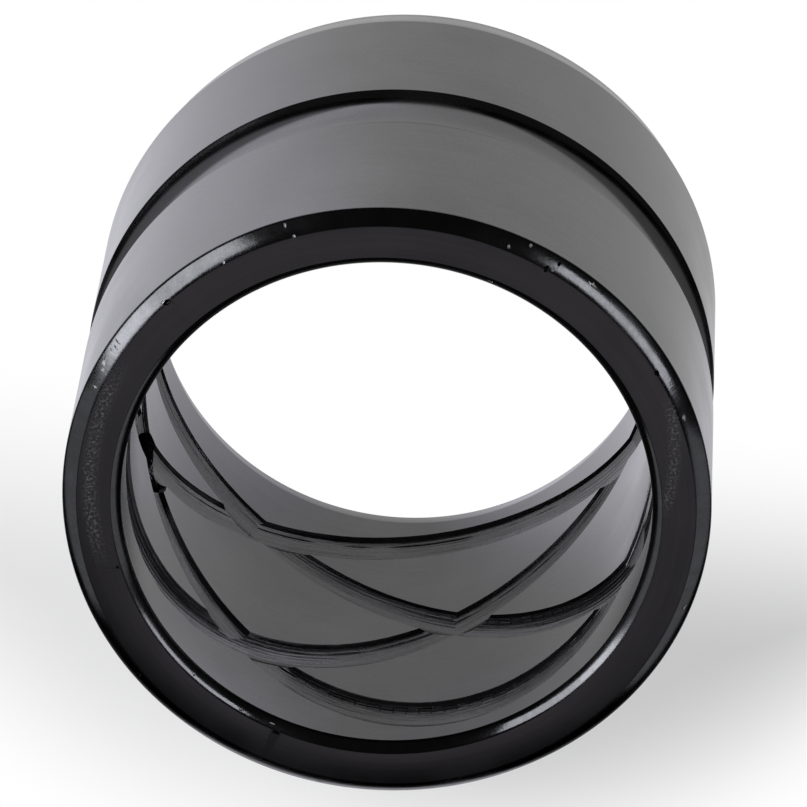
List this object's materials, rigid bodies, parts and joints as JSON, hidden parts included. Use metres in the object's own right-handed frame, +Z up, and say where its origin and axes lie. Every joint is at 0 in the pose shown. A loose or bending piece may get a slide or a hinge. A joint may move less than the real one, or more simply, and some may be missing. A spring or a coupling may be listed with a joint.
{
  "type": "grease groove bushing",
  "caption": "Thick steel sleeve bushing with crossing oil grooves in the bore, a radial oil hole and an oil belt groove round the outside; it lines a pivot and turns on a greased pin.",
  "frame": {"origin": "centre of the lower end face, the one with the slim lead-in chamfer, on which the bushing stands", "axes": "+Z up along the bore axis, towards the end with the blunt chamfer; +X through the oil hole; +Y where a groove loop of the upper pair turns nearest the top"},
  "size_m": [0.11, 0.11, 0.09],
  "materials": {
    "steel": "satin, dark, ground on the outside and in the bore"
  },
  "bodies": {
    "root": {"bushing": "steel"}
  },
  "joints": []
}
